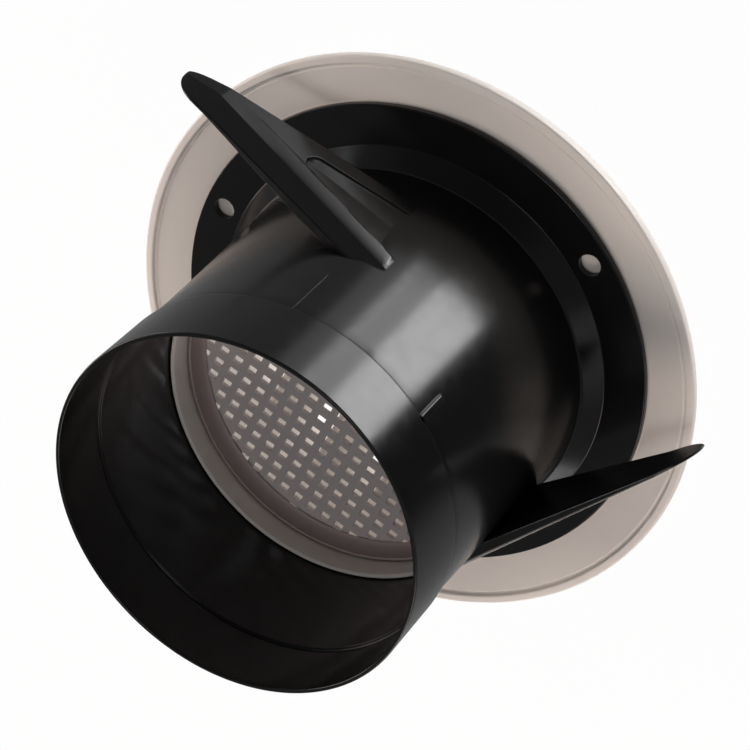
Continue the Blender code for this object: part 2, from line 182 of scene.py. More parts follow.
def turned_grid(outline: np.ndarray, steps: int) -> np.ndarray:
    """An outline of (radius, level) points carried round the duct axis.

    Args:
        outline: Outline points, shape (points, 2).
        steps: Number of places round the axis.

    Returns:
        Points at (r cos a, r sin a, level), shape (steps, points, 3).
    """
    angle = np.linspace(0.0, 2 * math.pi, steps, endpoint=False)[:, None]
    radius, level = outline[None, :, 0], outline[None, :, 1]
    x, y = radius * np.cos(angle), radius * np.sin(angle)
    return np.stack([x, y, np.broadcast_to(level, x.shape)], axis=-1)


def about_axis(points: np.ndarray, degrees: float) -> np.ndarray:
    """Points turned about the duct axis.

    Args:
        points: Points, shape (..., 3).
        degrees: Angle, seen from behind the vent.

    Returns:
        The turned points.
    """
    c, s = math.cos(math.radians(degrees)), math.sin(math.radians(degrees))
    return points @ np.array([[c, s, 0.0], [-s, c, 0.0], [0.0, 0.0, 1.0]])


def enclosed_volume(points: np.ndarray, quads: np.ndarray) -> float:
    """Volume inside a closed shell: a sixth of the sum of a . (b x c) over its triangles.

    Args:
        points: Points, shape (points, 3).
        quads: Four point numbers for each quad.

    Returns:
        The volume, negative where the faces point inwards.
    """
    a, b, c, d = (points[quads[:, i]] for i in range(4))
    first = np.einsum("ij,ij->i", a, np.cross(b, c)).sum()
    second = np.einsum("ij,ij->i", a, np.cross(c, d)).sum()
    return float(first + second) / 6.0


def end_caps(rows: int, columns: int) -> list[np.ndarray]:
    """Faces that close the first and the last row of a grid whose rows are rings.

    Args:
        rows: Number of rows.
        columns: Number of points in a row.

    Returns:
        Point numbers of the two faces, in the sense of the grid's quads.
    """
    ring = np.arange(columns)
    return [ring[::-1], ring + (rows - 1) * columns]


def lay_piece(name: str, points: np.ndarray, quads: np.ndarray,
              caps: list[np.ndarray] | None = None) -> bpy.types.Object:
    """A mesh object from points and faces, faces outwards, smooth up to the sharp angle.

    Args:
        name: The piece's name.
        points: Points, any shape ending in 3.
        quads: Four point numbers for each quad.
        caps: Point numbers of each flat end face, in the quads' sense.

    Returns:
        The new object.
    """
    points = points.reshape(-1, 3)
    faces = quads.tolist() + [cap.tolist() for cap in caps or []]
    if enclosed_volume(points, quads) < 0.0:
        faces = [face[::-1] for face in faces]
    mesh = bpy.data.meshes.new(name)
    mesh.from_pydata(points.tolist(), [], faces)
    mesh.validate()
    mesh.shade_smooth()
    mesh.set_sharp_from_angle(angle=math.radians(SHARP_ANGLE))
    piece = bpy.data.objects.new(name, mesh)
    bpy.context.scene.collection.objects.link(piece)
    return piece


def dress(piece: bpy.types.Object, finish: "MouldedPlastic", node: str | None = None) -> None:
    """Give a piece its finish, and let it stand for its CAD node.

    Args:
        piece: The piece.
        finish: Its plastic.
        node: CAD node that the piece stands for, if any.
    """
    piece.data.materials.clear()
    piece.data.materials.append(finish.material())
    if node:
        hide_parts(node)
    LOG.info("%s: %d faces", piece.name, len(piece.data.polygons))


@dataclass(frozen=True)
class MouldedPlastic:
    """A moulded plastic: mottled colour, uneven gloss, fine grain and slow flow waves."""

    name: str
    slot: Slot
    colour: tuple[float, float, float]
    shade: tuple[float, float, float]
    smoothest: float
    roughest: float
    grain_size: float = 0.35 * MM
    grain_height: float = 0.006 * MM
    wave_size: float = 16.0 * MM
    wave_height: float = 0.05 * MM
    mottle_size: float = 9.0 * MM
    gloss_size: float = 4.0 * MM
    specular: float = 0.5

    def material(self) -> bpy.types.Material:
        """The finish's material, made once.

        Colour runs between colour and shade with a slow noise, roughness between its two ends
        with a middling one, and the bump adds fine grain to slow waves.

        Returns:
            The material.
        """
        ready = bpy.data.materials.get(self.name)
        if ready:
            return ready
        made = bpy.data.materials.new(self.name)
        made.use_nodes = True
        made.diffuse_color = (*self.colour, 1.0)
        nodes, links = made.node_tree.nodes, made.node_tree.links
        shader = nodes["Principled BSDF"]
        shader.inputs["Specular IOR Level"].default_value = self.specular
        place = nodes.new("ShaderNodeTexCoord").outputs["Object"]

        def noise(size: float, detail: float) -> bpy.types.NodeSocket:
            """Noise whose lumps are about size across."""
            node = nodes.new("ShaderNodeTexNoise")
            node.inputs["Scale"].default_value = 1.0 / size
            node.inputs["Detail"].default_value = detail
            links.new(place, node.inputs["Vector"])
            return node.outputs["Fac"]

        mottle = nodes.new("ShaderNodeMix")
        mottle.data_type = "RGBA"
        mottle.inputs["A"].default_value = (*self.colour, 1.0)
        mottle.inputs["B"].default_value = (*self.shade, 1.0)
        links.new(noise(self.mottle_size, 4.0), mottle.inputs["Factor"])
        links.new(mottle.outputs["Result"], shader.inputs["Base Color"])

        gloss = nodes.new("ShaderNodeMapRange")
        gloss.inputs["From Min"].default_value = 0.3
        gloss.inputs["From Max"].default_value = 0.7
        gloss.inputs["To Min"].default_value = self.smoothest
        gloss.inputs["To Max"].default_value = self.roughest
        links.new(noise(self.gloss_size, 5.0), gloss.inputs["Value"])
        links.new(gloss.outputs["Result"], shader.inputs["Roughness"])

        waves = nodes.new("ShaderNodeBump")
        waves.inputs["Distance"].default_value = self.wave_height
        links.new(noise(self.wave_size, 1.0), waves.inputs["Height"])
        grain = nodes.new("ShaderNodeBump")
        grain.inputs["Distance"].default_value = self.grain_height
        links.new(noise(self.grain_size, 2.0), grain.inputs["Height"])
        links.new(waves.outputs["Normal"], grain.inputs["Normal"])
        links.new(grain.outputs["Normal"], shader.inputs["Normal"])
        return made


@dataclass
class Throat:
    """The black duct adapter: spigot collar, tapered tube, bevelled foot, flange and stop ribs."""

    finish: MouldedPlastic
    spigot_radius: float = 49.0 * MM
    spigot_wall: float = 1.1 * MM
    mouth: float = 92.0 * MM
    step: float = 71.5 * MM
    inner_step: float = 74.4 * MM
    collar_step: float = 0.65 * MM
    wall: float = 1.2 * MM
    spread: float = 2.65 * MM
    power: float = 1.6
    bevel_top: float = 2.9 * MM
    bevel_radius: float = 55.8 * MM
    flange_back: float = -1.5 * MM
    flange_front: float = -3.5 * MM
    flange_radius: float = 66.9 * MM
    hole_radius: float = 3.0 * MM
    hole_inset: float = 5.8 * MM
    hole_steps: int = 48
    first_hole: float = 90.0
    mouth_round: float = 0.40 * MM
    foot_round: float = 3.0 * MM
    bevel_round: float = 0.4 * MM
    flange_round: float = 0.35 * MM
    collar_round: float = 0.45 * MM
    undercut: float = 0.1 * MM
    undercut_height: float = 0.3 * MM
    rib_length: float = 11.0 * MM
    rib_width: float = 1.9 * MM
    rib_height: float = 1.0 * MM
    rib_rows: int = 24
    seam_angle: float = 18.0
    seam_length: float = 18.5 * MM
    seam_width: float = 0.35 * MM
    seam_height: float = 0.12 * MM
    steps: int = 288

    def taper(self, level: np.ndarray) -> np.ndarray:
        """Outer radius at a level: top radius plus spread times the share of the way down, to a power."""
        run = np.clip((self.step - level) / (self.step - self.bevel_top), 0.0, 1.0)
        return self.spigot_radius - self.collar_step + self.spread * run ** self.power

    def outline(self) -> np.ndarray:
        """The wall's section, down the outside from the mouth and back up the inside.

        The rows hold radius, level and the round of the corner.

        Returns:
            (radius, level) points.
        """
        level = np.linspace(self.step - 1.0 * MM, self.bevel_top + 1.5 * MM, 24)
        plain = np.zeros_like(level)
        turn = np.linspace(0.0, math.pi / 2, 7)
        waist = self.spigot_radius - self.collar_step - self.undercut
        edge = np.stack([
            self.spigot_radius - self.collar_round * (1.0 - np.cos(turn)),
            self.step + self.collar_round * (1.0 - np.sin(turn)), 0.0 * turn], axis=1)
        foot = float(self.taper(np.array(self.bevel_top)))
        inner_bevel = self.bevel_radius - self.wall
        rows = [
            np.array([
                [self.spigot_radius, self.mouth, self.mouth_round],
                [self.spigot_radius, self.step + 1.5 * self.collar_round, 0.0],
            ]),
            edge,
            np.array([
                [waist, self.step, 0.08 * MM],
                [waist, self.step - self.undercut_height, 0.15 * MM],
            ]),
            np.stack([self.taper(level), level, plain], axis=1),
            np.array([
                [foot, self.bevel_top, self.foot_round],
                [self.bevel_radius, self.flange_back, self.bevel_round],
                [self.flange_radius, self.flange_back, self.flange_round],
                [self.flange_radius, self.flange_front, self.flange_round],
                [inner_bevel, self.flange_front, 0.30 * MM],
                [inner_bevel, self.flange_back - self.wall / 2, 0.20 * MM],
                [foot - self.wall, self.bevel_top, 1.0 * MM],
            ]),
            np.stack([self.taper(level[::-1]) - self.wall, level[::-1], plain], axis=1),
            np.array([
                [self.spigot_radius - self.collar_step - self.wall, self.inner_step, 0.20 * MM],
                [self.spigot_radius - self.spigot_wall, self.inner_step, 0.25 * MM],
                [self.spigot_radius - self.spigot_wall, self.mouth, 0.35 * MM],
            ]),
        ]
        corners = np.concatenate(rows)
        return filled_outline(rounded_outline(corners[:, :2], corners[:, 2], 6), 3.0 * MM)

    def drill(self, degrees: float) -> bpy.types.Object:
        """A screw hole's cutter: a closed rod on the flange's screw circle.

        Args:
            degrees: Angle of the hole round the axis.

        Returns:
            The cutter.
        """
        centre = self.flange_radius - self.hole_inset
        angle = np.linspace(0.0, 2 * math.pi, self.hole_steps, endpoint=False)[None, :]
        level = np.array([self.flange_front - 2 * MM, self.flange_back + 2 * MM])[:, None]
        x = centre + self.hole_radius * np.cos(angle) + 0.0 * level
        y = self.hole_radius * np.sin(angle) + 0.0 * level
        rod = about_axis(np.stack([x, y, level + 0.0 * angle], axis=-1), degrees)
        quads = grid_quads(2, self.hole_steps, False, True)
        return lay_piece("screw_drill", rod, quads, end_caps(2, self.hole_steps))

    def rib(self, name: str, degrees: float, low: float, width: float, height: float) -> bpy.types.Object:
        """A raised bar down the tube from the collar's step, let into the wall.

        Its section, a rounded rectangle, is carried down the taper's own radius, and the bar
        sinks into the wall over its last millimetre.

        Args:
            name: The piece's name.
            degrees: Angle round the axis.
            low: Level of its lower end.
            width: Width across.
            height: Height above the tube at the collar.

        Returns:
            The bar.
        """
        level = np.linspace(self.step + 0.3 * MM, low, self.rib_rows)[:, None]
        root, side = 0.5 * self.wall, width / 2
        corners = np.array([[height, side], [-root, side], [-root, -side], [height, -side]])
        section = rounded_outline(corners, np.full(4, 0.3 * min(width, height)), 4)[None]
        sink = 1.0 - smooth_step(low + 1.2 * MM, low, level)
        proud = section[..., 0]
        lift = np.where(proud > 0.0, proud * sink - 0.05 * MM * (1 - sink), proud)
        bar = np.stack([self.taper(level) + lift, section[..., 1] + 0.0 * level, level + 0.0 * lift], axis=-1)
        shape = bar.shape[:2]
        return lay_piece(name, about_axis(bar, degrees), grid_quads(*shape, False, True), end_caps(*shape))

    def build(self) -> None:
        """Make the turned wall with its three holes, the stop ribs and the fine mould seam."""
        grid = turned_grid(self.outline(), self.steps)
        wall = lay_piece("throat_wall", grid, grid_quads(*grid.shape[:2], True, True))
        angles = [self.first_hole + THIRD_TURN * i for i in range(3)]
        drilled(wall, [self.drill(angle) for angle in angles])
        dress(wall, self.finish, "throat")
        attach(wall, BODY)
        low = self.step - self.rib_length
        for i, angle in enumerate(angles):
            rib = self.rib(f"stop_rib_{i + 1}", angle, low, self.rib_width, self.rib_height)
            dress(rib, self.finish)
            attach(rib, BODY)
        low = self.step - self.seam_length
        seam = self.rib("mould_seam", self.seam_angle, low, self.seam_width, self.seam_height)
        dress(seam, self.finish)
        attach(seam, BODY)


def drilled(piece: bpy.types.Object, cutters: list[bpy.types.Object]) -> None:
    """Cut holes into a piece for good and remove their cutters.

    Args:
        piece: The piece that is cut.
        cutters: Closed cutters.
    """
    for cutter in cutters:
        cut = piece.modifiers.new(cutter.name, "BOOLEAN")
        cut.operation = "DIFFERENCE"
        cut.solver = "EXACT"
        cut.object = cutter
    graph = bpy.context.evaluated_depsgraph_get()
    mesh = bpy.data.meshes.new_from_object(piece.evaluated_get(graph))
    piece.modifiers.clear()
    piece.data = mesh
    mesh.shade_smooth()
    mesh.set_sharp_from_angle(angle=math.radians(SHARP_ANGLE))
    for cutter in cutters:
        bpy.data.objects.remove(cutter, do_unlink=True)


@dataclass
class Wing:
    """One spring wing: a tapering blade from its root on the tube to its round nose."""

    finish: MouldedPlastic
    throat: Throat
    plane: float = 48.86 * MM
    start: float = 5.6 * MM
    reach: float = 78.2 * MM
    hinge: float = 30.9 * MM
    bend_before: float = 4.5 * MM
    bend_after: float = 5.5 * MM
    thickness: float = 5.2 * MM
    slim: float = 3.0 * MM
    tip: float = 1.6 * MM
    thick_end: float = 20.0 * MM
    chisel_start: float = 67.0 * MM
    far_root: float = 12.9 * MM
    far_rise: float = 6.3 * MM
    near_root: float = 44.1 * MM
    near_fall: float = 23.7 * MM
    back_root: float = 48.7 * MM
    back_fall: float = 21.2 * MM
    slope_run: float = 77.0 * MM
    nose_start: float = 71.0 * MM
    nose_power: float = 2.6
    nose_level: float = 21.2 * MM
    slope_depth: float = 2.0 * MM
    edge_round: float = 0.5 * MM
    crease_round: float = 0.6 * MM
    recess_depth: float = 0.8 * MM
    recess_margin: float = 4.7 * MM
    recess_end: float = 39.8 * MM
    recess_wall: float = 0.55 * MM
    recess_rise: float = 0.6
    strip_lift: float = 0.5 * MM
    strip_power: float = 1.8
    strip_ramp: float = 1.6 * MM
    strip_end: float = 42.0 * MM
    strip_fade: float = 20.0 * MM

    def along(self) -> np.ndarray:
        """Places along the wing, close together at the recess's round end and at the nose."""
        close = np.sin(np.linspace(0.0, math.pi / 2, 36)[1:])
        return np.concatenate([
            np.linspace(self.start, self.start + self.strip_ramp, 8),
            np.linspace(7.8 * MM, 33.0 * MM, 52),
            np.linspace(33.1 * MM, 41.0 * MM, 90),
            np.linspace(41.5 * MM, self.nose_start, 52),
            self.nose_start + (self.reach - self.nose_start) * close,
        ])

    def nose(self, y: np.ndarray) -> np.ndarray:
        """How far the outline is still open at the nose: a quarter of a blunt ellipse from 1 to 0."""
        over = np.clip((y - self.nose_start) / (self.reach - self.nose_start), 0.0, 1.0)
        return np.clip(1.0 - over ** self.nose_power, 0.0002, 1.0) ** (1.0 / self.nose_power)

    def edges(self, y: np.ndarray) -> tuple[np.ndarray, np.ndarray, np.ndarray]:
        """Levels of the far edge, of the outer face's near edge and of the back's near edge.

        All three are straight lines along the wing that close on the nose's level.

        Args:
            y: Distance along the wing.

        Returns:
            Far edge, near edge of the outer face, near edge of the back.
        """
        share = y / self.slope_run
        far = self.far_root + self.far_rise * share
        near = self.near_root - self.near_fall * share
        back = self.back_root - self.back_fall * share
        is_open = self.nose(y)
        far = self.nose_level + (far - self.nose_level) * is_open ** 0.6
        back = self.nose_level + (back - self.nose_level) * is_open
        width = back - far
        return far, np.clip(near, far + 0.4 * width, back - 0.3 * width * (1 - is_open)), back

    def thick(self, y: np.ndarray) -> np.ndarray:
        """Thickness along the wing before its tip is bevelled: a slow taper."""
        taper = np.clip((y - self.thick_end) / (self.chisel_start - self.thick_end), 0.0, 1.0)
        return self.thickness + (self.slim - self.thickness) * taper

    def chisel(self, y: np.ndarray) -> np.ndarray:
        """How much the outer face is bevelled off towards the tip."""
        run = np.clip((y - self.chisel_start) / (self.reach - self.chisel_start), 0.0, 1.0)
        return (self.slim - self.tip) * run

    def recess_edges(self, y: np.ndarray) -> tuple[np.ndarray, np.ndarray, float, float]:
        """Middle and half width of the sunk panel: it narrows along the wing to a round end.

        Args:
            y: Distance along the wing.

        Returns:
            Middle level, half width, and the round end's centre and radius.
        """
        far, near, _ = self.edges(np.array(self.recess_end))
        radius = float(near - far) / 2 - self.recess_margin
        centre = self.recess_end - radius
        run = np.clip(y / centre, 0.0, 1.0)
        wide = (self.near_root - self.far_root) / 2 - self.recess_margin
        root = (self.near_root + self.far_root) / 2
        middle = root + (float(near + far) / 2 - root) * run
        beyond = np.clip((y - centre) / radius, 0.0, 1.0)
        half = (wide + (radius - wide) * run) * np.sqrt(np.clip(1.0 - beyond * beyond, 0.01, 1.0))
        return middle, half, centre, radius

    def face_levels(self, y: np.ndarray, low: np.ndarray, high: np.ndarray) -> np.ndarray:
        """Levels of the outer face's points, with lines that follow the sunk panel's two walls.

        Args:
            y: Distance along the wing.
            low: Level where the face starts.
            high: Level where it ends.

        Returns:
            Levels, shape (places along, points across).
        """
        middle, half, _, _ = self.recess_edges(y)
        wall = np.minimum(self.recess_wall, 0.8 * half)
        first, last = middle - half, middle + half
        stops = np.stack([low, first, first + wall, last - wall, last, high], 1)
        stops = np.maximum.accumulate(np.clip(stops, low[:, None], high[:, None]), axis=1)
        share = np.concatenate([
            np.linspace(0, 1, 12)[1:], 1 + np.linspace(0, 1, 6)[1:], 2 + np.linspace(0, 1, 24)[1:],
            3 + np.linspace(0, 1, 6)[1:], 4 + np.linspace(0, 1, 16)[1:-1]])
        left = np.minimum(share.astype(int), 4)
        part = (share - left)[None]
        return stops[:, left] * (1 - part) + stops[:, left + 1] * part

    def sunk(self, y: np.ndarray, z: np.ndarray) -> np.ndarray:
        """Share of the recess's depth: 1 inside its round-ended outline, with a short sloped wall.

        Args:
            y: Distance along the wing.
            z: Level.

        Returns:
            The share, 0 to 1.
        """
        middle, half, centre, radius = self.recess_edges(y)
        inside = np.where(y < centre, half - np.abs(z - middle), radius - np.hypot(y - centre, z - middle))
        return smooth_step(0.0, self.recess_wall, inside)

    def surface(self) -> np.ndarray:
        """The wing's skin: a rounded section with a sloped near side, carried along Y at +X.

        The outer face carries the sunk panel. Towards the root its near strip stands proud at
        the panel, falls to the near edge and ends in a short ramp. Nothing reaches past the
        middle of the tube's wall.

        Returns:
            Points, shape (places along, section, 3).
        """
        y = self.along()
        far, near, back = self.edges(y)
        shrink = (1.0 - self.nose(y)) * (self.thick(y) - self.chisel(y)) / 2
        outer = self.plane - self.chisel(y) - shrink
        inner = self.plane - self.thick(y) + shrink
        flat = np.maximum(outer - self.slope_depth, inner + 0.3 * (outer - inner))
        corners = np.stack([
            np.stack([outer, near], -1), np.stack([flat, back], -1), np.stack([inner, back], -1),
            np.stack([inner, far], -1), np.stack([outer, far], -1),
        ], axis=1)
        rounds = np.array([self.crease_round] + [self.edge_round] * 4)
        section = rounded_outline(corners, np.broadcast_to(rounds, corners.shape[:2]), 6)
        level = self.face_levels(y, section[:, -1, 1], section[:, 0, 1])
        face = np.stack([np.broadcast_to(outer[:, None], level.shape), level], axis=-1)
        section = np.concatenate([section, face], axis=1)
        x, z = section[..., 0], section[..., 1]
        row = np.broadcast_to(y[:, None], x.shape)
        on_face = smooth_step(1.2 * MM, 0.2 * MM, outer[:, None] - x)
        middle, half, _, _ = self.recess_edges(row)
        deep = 1.0 - self.recess_rise * np.clip((middle - z) / np.maximum(half, 1e-6), 0.0, 1.0)
        x = x - self.recess_depth * self.sunk(row, z) * deep * on_face
        across = 1.0 - (near[:, None] - z) / self.recess_margin
        fall = np.clip(across, 0.0, 1.0) ** self.strip_power
        tilt = self.strip_lift * (1.0 - fall)
        ramp = smooth_step(self.start, self.start + self.strip_ramp, row)
        fade = smooth_step(self.strip_end + self.strip_fade, self.strip_end, row)
        fade = fade * ramp * smooth_step(-0.1, 0.0, across)
        x = x + tilt * on_face * fade
        inside = self.throat.taper(z) - self.throat.wall / 2
        x = np.maximum(x, np.sqrt(np.maximum(inside ** 2 - row ** 2, 0.0)))
        return np.stack([x, row, z], axis=-1)

    def build(self) -> None:
        """Make the three wings, a third of a turn apart."""
        skin = self.surface()
        quads, ends = grid_quads(*skin.shape[:2], False, True), end_caps(*skin.shape[:2])
        for i in range(3):
            wing = lay_piece(f"spring_wing_{i + 1}", about_axis(skin, THIRD_TURN * i), quads, ends)
            dress(wing, self.finish, f"wing_{i + 1}")
            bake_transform(wing)


@dataclass
class FacePlate:
    """The white face: sleeve inside the throat, plate back, rolled rim, shoulder, front and bore."""

    finish: MouldedPlastic
    throat: Throat
    gap: float = 0.3 * MM
    sleeve_wall: float = 1.2 * MM
    sleeve_top: float = 41.0 * MM
    ledge: float = 28.0 * MM
    ledge_width: float = 1.3 * MM
    ledge_thickness: float = 1.6 * MM
    plate_back: float = -3.8 * MM
    edge_level: float = -0.9 * MM
    rim_radius: float = 80.6 * MM
    lip_width: float = 2.5 * MM
    lip_round: float = 1.2 * MM
    groove_width: float = 0.9 * MM
    groove_floor: float = -1.15 * MM
    front: float = -8.0 * MM
    shoulder: float = 11.0 * MM
    bore_round: float = 1.2 * MM
    steps: int = 288

    def sleeve(self, level: np.ndarray) -> np.ndarray:
        """Outer radius of the sleeve: the throat's inner wall less the sliding gap."""
        return self.throat.taper(level) - self.throat.wall - self.gap

    def outline(self) -> np.ndarray:
        """The face's section, down the sleeve's outside, round the rim and up the bore.

        The shoulder is a quarter of an ellipse from the rim to the front. The rows hold radius,
        level and the round of the corner.

        Returns:
            (radius, level) points.
        """
        foot = self.throat.bevel_top
        lip_inner = self.rim_radius - self.lip_width
        groove_inner = lip_inner - self.groove_width
        down = np.linspace(self.sleeve_top, foot, 14)
        up = np.linspace(foot, self.ledge - self.ledge_thickness - self.ledge_width, 9)
        top = np.linspace(self.ledge, self.sleeve_top, 7)
        angle = np.linspace(0.0, math.pi / 2, 20)
        drop = -self.front - self.lip_round
        seat = float(self.sleeve(np.array(self.ledge))) - self.sleeve_wall
        bore = float(self.sleeve(np.array(foot))) - self.sleeve_wall
        edge = 0.35 * MM

        def curve(radius: np.ndarray, level: np.ndarray, ends: tuple[float, float]) -> np.ndarray:
            """Rows of points on a smooth stretch, rounded only at its two ends."""
            rounds = np.zeros_like(level)
            rounds[0], rounds[-1] = ends
            return np.stack([radius, level, rounds], axis=1)

        rows = [
            curve(self.sleeve(down), down, (edge, 0.0)),
            np.array([
                [float(self.sleeve(np.array(foot))), self.plate_back, 0.4 * MM],
                [self.throat.flange_radius + self.gap, self.plate_back, 0.5 * MM],
                [groove_inner, self.edge_level, 0.40 * MM],
                [groove_inner + 0.2 * MM, self.groove_floor, 0.30 * MM],
                [lip_inner, self.groove_floor, 0.30 * MM],
                [lip_inner + 0.1 * MM, 0.0, 0.70 * MM],
                [self.rim_radius - 0.1 * MM, 0.0, 1.1 * MM],
            ]),
            curve(
                self.rim_radius - self.shoulder * (1.0 - np.cos(angle)),
                -self.lip_round - drop * np.sin(angle), (0.0, 0.0)),
            np.array([[bore, self.front, self.bore_round]]),
            curve(self.sleeve(up) - self.sleeve_wall, up, (0.0, 0.2 * MM)),
            np.array([
                [seat - self.ledge_width, self.ledge - self.ledge_thickness, 0.2 * MM],
                [seat - self.ledge_width, self.ledge, 0.25 * MM],
            ]),
            curve(self.sleeve(top) - self.sleeve_wall, top, (0.1 * MM, edge)),
        ]
        corners = np.concatenate(rows)
        return filled_outline(rounded_outline(corners[:, :2], corners[:, 2], 6), 2.5 * MM)

    def build(self) -> None:
        """Make the turned face."""
        grid = turned_grid(self.outline(), self.steps)
        face = lay_piece("vent_face", grid, grid_quads(*grid.shape[:2], True, True))
        dress(face, self.finish, "face_plate")
        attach(face, BODY)


@dataclass
class Screen:
    """The insect screen with its square holes, and the ring that holds it on its ledge."""

    finish: MouldedPlastic
    # The ring's finish: screen plastic made darker, painted shade for the ring in the tube's shadow.
    ring_painted_shade_finish: MouldedPlastic
    face: FacePlate
    thickness: float = 1.4 * MM
    pitch: float = 4.45 * MM
    hole: float = 2.5 * MM
    ring_height: float = 4.1 * MM
    ring_wall: float = 0.8 * MM
    ring_foot: float = 2.4 * MM
    ring_toe: float = 0.06 * MM
    ring_steps: int = 240
    border: float = 0.35 * MM
    edge_round: float = 0.18 * MM
    merge: float = 0.001 * MM

    @property
    def back(self) -> float:
        """Level of the screen's back."""
        return self.face.ledge + self.face.gap + self.thickness

    def clear_radius(self, level: float) -> float:
        """Radius that fits in the sleeve's bore at a level, less the gap."""
        return float(self.face.sleeve(np.array(level))) - self.face.sleeve_wall - self.face.gap

    def lattice(self) -> tuple[np.ndarray, np.ndarray]:
        """The screen as a flat sheet of square cells, each open cell a frame of eight quads.

        A cell's outer loop and its hole's loop have eight points each, at the corners and the
        middles of the sides. Cells whose hole would break the screen's border stay closed, with
        a lid across the hole's loop. Points past the rim are drawn in to it.

        Returns:
            Points and quads.
        """
        rim = self.clear_radius(self.back)
        open_radius = rim - self.border
        reach = int(rim / self.pitch) + 1
        step = np.arange(-reach, reach + 1) * self.pitch
        middle = np.stack(np.meshgrid(step, step, indexing="ij"), axis=-1).reshape(-1, 2)
        outermost = np.hypot(*(np.abs(middle).T + self.hole / 2))
        nearest = np.hypot(*np.maximum(np.abs(middle).T - self.pitch / 2, 0.0))
        middle, is_open = middle[nearest < rim], (outermost < open_radius)[nearest < rim]
        loop = np.array([[1, 1], [0, 1], [-1, 1], [-1, 0], [-1, -1], [0, -1], [1, -1], [1, 0]], float)
        outer = middle[:, None] + loop * self.pitch / 2
        inner = middle[:, None] + loop * self.hole / 2
        points = np.concatenate([outer, inner], axis=1).reshape(-1, 2)
        first = np.arange(len(middle))[:, None] * 16
        k = np.arange(8)[None, :]
        turn = (k + 1) % 8
        ring = np.stack([first + k, first + turn, first + 8 + turn, first + 8 + k], axis=-1).reshape(-1, 4)
        lid = np.array([[8, 9, 15, 15], [9, 10, 11, 11], [9, 11, 13, 15], [11, 12, 13, 13], [13, 14, 15, 15]])
        closed = (first[~is_open][:, :, None] + lid[None]).reshape(-1, 4)
        quads = np.concatenate([ring, closed])
        whole = np.round(points / self.merge).astype(np.int64)
        key, number = np.unique(whole, axis=0, return_inverse=True)
        points, quads = key * self.merge, number.reshape(-1)[quads]
        far = np.hypot(*points.T)
        quads = quads[(far[quads] < rim).any(axis=1)]
        points = points * np.minimum(1.0, rim / np.maximum(far, 1e-9))[:, None]
        return np.column_stack([points, np.full(len(points), self.back)]), quads

    def build(self) -> None:
        """Make the screen, thickened and with softened hole edges, and its ring.

        The ring's inner side is a hollow quarter of an ellipse that runs out onto the screen.
        """
        points, quads = self.lattice()
        faces = [list(dict.fromkeys(quad)) for quad in quads.tolist()]
        mesh = bpy.data.meshes.new("insect_screen")
        mesh.from_pydata(points.tolist(), [], faces)
        screen = bpy.data.objects.new("insect_screen", mesh)
        bpy.context.scene.collection.objects.link(screen)
        thick = screen.modifiers.new("thickness", "SOLIDIFY")
        thick.thickness = self.thickness
        thick.offset = -1.0
        soft = screen.modifiers.new("soft_edges", "BEVEL")
        soft.width = self.edge_round
        soft.segments = 2
        soft.limit_method = "ANGLE"
        soft.angle_limit = math.radians(60.0)
        soft.harden_normals = False
        dress(screen, self.finish, "fly_screen")
        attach(screen, BODY)

        low = self.back + self.face.gap
        outer = self.clear_radius(low + self.ring_height)
        inner = outer - self.ring_wall
        turn = np.linspace(0.0, math.pi / 2, 12)
        hollow = np.stack([
            inner - self.ring_foot * (1.0 - np.sin(turn)),
            low + self.ring_toe + (self.ring_height - self.ring_toe) * (1.0 - np.cos(turn)),
            0.0 * turn], axis=1)
        corners = np.concatenate([
            np.array([
                [outer, low + self.ring_height, 0.3 * MM], [outer, low, 0.3 * MM],
                [inner - self.ring_foot, low, 0.01 * MM]]),
            hollow])
        outline = filled_outline(rounded_outline(corners[:, :2], corners[:, 2], 6), 2.0 * MM)
        grid = turned_grid(outline, self.ring_steps)
        ring = lay_piece("retaining_ring", grid, grid_quads(*grid.shape[:2], True, True))
        # The ring gets the darkened screen plastic: painted shade, not a colour of its own.
        dress(ring, self.ring_painted_shade_finish, "screen_ring")
        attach(ring, BODY)


@dataclass
class Louvres:
    """The slanted blades across the bore."""

    finish: MouldedPlastic
    reach: float = 48.0 * MM
    edge_margin: float = 10.5 * MM
    count: int = 5
    front: float = -7.5 * MM
    depth: float = 12.0 * MM
    slant: float = 45.0
    thickness: float = 1.8 * MM
    edge_round: float = 0.7 * MM
    places: int = 33

    def blade(self, offset: float) -> np.ndarray:
        """One blade: a rounded slat section, turned by the slant, carried across the bore.

        Each line of the section runs to the bore's wall: half length is the root of reach
        squared less its own distance from the axis squared.

        Args:
            offset: Distance of the blade's middle from the axis.

        Returns:
            Points, shape (places across, section, 3).
        """
        slant = math.radians(self.slant)
        chord = (self.depth - self.thickness * math.cos(slant)) / math.sin(slant)
        a, b = chord / 2, self.thickness / 2
        corners = np.array([[-a, b], [a, b], [a, -b], [-a, -b]])
        section = filled_outline(rounded_outline(corners, np.full(4, self.edge_round), 6), 1.5 * MM)
        y = offset + section[:, 0] * math.cos(slant) - section[:, 1] * math.sin(slant)
        z = self.front + self.depth / 2 + section[:, 0] * math.sin(slant) + section[:, 1] * math.cos(slant)
        half = np.sqrt(np.maximum(self.reach ** 2 - y ** 2, 0.0))
        across = np.linspace(-1.0, 1.0, self.places)[:, None]
        return np.stack([across * half, y + 0.0 * across, z + 0.0 * across], axis=-1)

    def build(self) -> None:
        """Make the blades, evenly spread between the margins."""
        outermost = self.reach - self.edge_margin
        for i, offset in enumerate(np.linspace(-outermost, outermost, self.count)):
            skin = self.blade(float(offset))
            shape = skin.shape[:2]
            slat = lay_piece(f"blade_{i + 1}", skin, grid_quads(*shape, False, True), end_caps(*shape))
            dress(slat, self.finish, f"louvre_{i + 1}")
            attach(slat, BODY)


